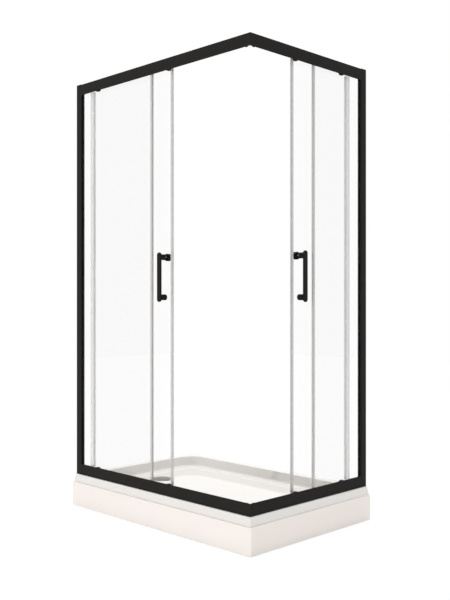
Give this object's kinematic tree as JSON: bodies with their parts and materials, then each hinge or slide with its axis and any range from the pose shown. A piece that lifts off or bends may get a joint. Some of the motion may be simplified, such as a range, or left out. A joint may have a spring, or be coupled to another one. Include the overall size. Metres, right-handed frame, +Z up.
{
  "type": "shower enclosure",
  "caption": "Corner-entry shower enclosure on a low tray: black aluminium rails, clear fixed panes and sliding glass doors on rollers that close at a corner without a post",
  "frame": {"origin": "middle of the tray's footprint, on the floor", "axes": "X along the long side, Y along the short side, Z up; the long glazed side faces -Y, the short one faces +X, and the entry is the corner between them; doors are open at rest"},
  "size_m": [1.2, 0.8, 2.066],
  "materials": {
    "black_aluminium": "matt black powder coat",
    "tray_acrylic": "gloss white",
    "apron_acrylic": "gloss warm white",
    "clear_glass": "clear toughened glass",
    "clear_seal": "translucent soft plastic",
    "magnet": "magnetic rubber",
    "black_rubber": "matt black",
    "black_handle": "satin black",
    "steel": "bright zinc plated",
    "grey_steel": "galvanised",
    "black_plastic": "moulded, fine texture",
    "white_plastic": "moulded white",
    "chrome": "polished"
  },
  "bodies": {
    "enclosure": {"front_wall_profile": "black_aluminium", "side_wall_profile": "black_aluminium", "front_jamb": "black_aluminium", "side_jamb": "black_aluminium", "front_top_rail": "black_aluminium", "side_top_rail": "black_aluminium", "front_bottom_rail": "black_aluminium", "side_bottom_rail": "black_aluminium", "tray_shell": "tray_acrylic", "front_apron": "apron_acrylic", "side_apron": "apron_acrylic", "front_fixed_pane": "clear_glass", "side_fixed_pane": "clear_glass", "front_pane_seal": "clear_seal", "side_pane_seal": "clear_seal", "pane_gaskets": "black_rubber", "rail_stops": "black_rubber", "drain_gasket": "black_rubber", "frame_screws": "steel", "levelling_feet": "steel", "foot_lock_nuts": "steel", "tray_bearers": "grey_steel", "apron_brackets": "grey_steel", "rail_connectors": "black_plastic", "drain_trap": "white_plastic", "drain_flange": "chrome"},
    "front_door": {"front_door_glass": "clear_glass", "front_door_magnet_seal": "clear_seal", "front_door_magnet_strip": "magnet", "front_door_trailing_seal": "clear_seal", "front_door_roller_carriers": "black_plastic", "front_door_roller_caps": "black_plastic", "front_door_roller_axles": "steel", "front_handle_bar": "black_handle", "front_handle_posts": "black_handle", "front_handle_washers": "black_rubber", "front_handle_collar": "black_handle", "front_handle_screws": "steel"},
    "side_door": {"side_door_glass": "clear_glass", "side_door_magnet_seal": "clear_seal", "side_door_magnet_strip": "magnet", "side_door_trailing_seal": "clear_seal", "side_door_roller_carriers": "black_plastic", "side_door_roller_caps": "black_plastic", "side_door_roller_axles": "steel", "side_handle_bar": "black_handle", "side_handle_posts": "black_handle", "side_handle_washers": "black_rubber", "side_handle_collar": "black_handle", "side_handle_screws": "steel"},
    "front_door_top_lead_wheel_body": {"front_door_top_lead_wheel": "white_plastic"},
    "front_door_top_trail_wheel_body": {"front_door_top_trail_wheel": "white_plastic"},
    "front_door_bottom_lead_wheel_body": {"front_door_bottom_lead_wheel": "white_plastic"},
    "front_door_bottom_trail_wheel_body": {"front_door_bottom_trail_wheel": "white_plastic"},
    "side_door_top_lead_wheel_body": {"side_door_top_lead_wheel": "white_plastic"},
    "side_door_top_trail_wheel_body": {"side_door_top_trail_wheel": "white_plastic"},
    "side_door_bottom_lead_wheel_body": {"side_door_bottom_lead_wheel": "white_plastic"},
    "side_door_bottom_trail_wheel_body": {"side_door_bottom_trail_wheel": "white_plastic"},
    "drain_cover_body": {"drain_cover": "chrome"}
  },
  "joints": [
    {"name": "front_door_slide", "type": "slide", "parent": "enclosure", "child": "front_door", "axis": [1, 0, 0], "range_m": [0, 0.4585]},
    {"name": "side_door_slide", "type": "slide", "parent": "enclosure", "child": "side_door", "axis": [0, -1, 0], "range_m": [0, 0.2465]},
    {"name": "drain_cover_lift", "type": "slide", "parent": "enclosure", "child": "drain_cover_body", "axis": [0, 0, 1], "range_m": [0, 0.06]},
    {"name": "front_door_top_lead_wheel_spin", "type": "hinge", "parent": "front_door", "child": "front_door_top_lead_wheel_body", "pos_m": [0.0595, -0.3365, 2.0473], "axis": [0, 1, 0], "continuous": true},
    {"name": "front_door_top_trail_wheel_spin", "type": "hinge", "parent": "front_door", "child": "front_door_top_trail_wheel_body", "pos_m": [-0.4585, -0.3365, 2.0473], "axis": [0, 1, 0], "continuous": true},
    {"name": "front_door_bottom_lead_wheel_spin", "type": "hinge", "parent": "front_door", "child": "front_door_bottom_lead_wheel_body", "pos_m": [0.0595, -0.3365, 0.1667], "axis": [0, 1, 0], "continuous": true},
    {"name": "front_door_bottom_trail_wheel_spin", "type": "hinge", "parent": "front_door", "child": "front_door_bottom_trail_wheel_body", "pos_m": [-0.4585, -0.3365, 0.1667], "axis": [0, 1, 0], "continuous": true},
    {"name": "side_door_top_lead_wheel_spin", "type": "hinge", "parent": "side_door", "child": "side_door_top_lead_wheel_body", "pos_m": [0.5365, -0.0715, 2.0473], "axis": [1, 0, 0], "continuous": true},
    {"name": "side_door_top_trail_wheel_spin", "type": "hinge", "parent": "side_door", "child": "side_door_top_trail_wheel_body", "pos_m": [0.5365, 0.2475, 2.0473], "axis": [1, 0, 0], "continuous": true},
    {"name": "side_door_bottom_lead_wheel_spin", "type": "hinge", "parent": "side_door", "child": "side_door_bottom_lead_wheel_body", "pos_m": [0.5365, -0.0715, 0.1667], "axis": [1, 0, 0], "continuous": true},
    {"name": "side_door_bottom_trail_wheel_spin", "type": "hinge", "parent": "side_door", "child": "side_door_bottom_trail_wheel_body", "pos_m": [0.5365, 0.2475, 0.1667], "axis": [1, 0, 0], "continuous": true}
  ],
  "couplings": [
    {"joint": "front_door_top_lead_wheel_spin", "follows": "front_door_slide", "rad_per_m": 90.909},
    {"joint": "front_door_top_trail_wheel_spin", "follows": "front_door_slide", "rad_per_m": 90.909},
    {"joint": "front_door_bottom_lead_wheel_spin", "follows": "front_door_slide", "rad_per_m": -90.909},
    {"joint": "front_door_bottom_trail_wheel_spin", "follows": "front_door_slide", "rad_per_m": -90.909},
    {"joint": "side_door_top_lead_wheel_spin", "follows": "side_door_slide", "rad_per_m": 90.909},
    {"joint": "side_door_top_trail_wheel_spin", "follows": "side_door_slide", "rad_per_m": 90.909},
    {"joint": "side_door_bottom_lead_wheel_spin", "follows": "side_door_slide", "rad_per_m": -90.909},
    {"joint": "side_door_bottom_trail_wheel_spin", "follows": "side_door_slide", "rad_per_m": -90.909}
  ]
}
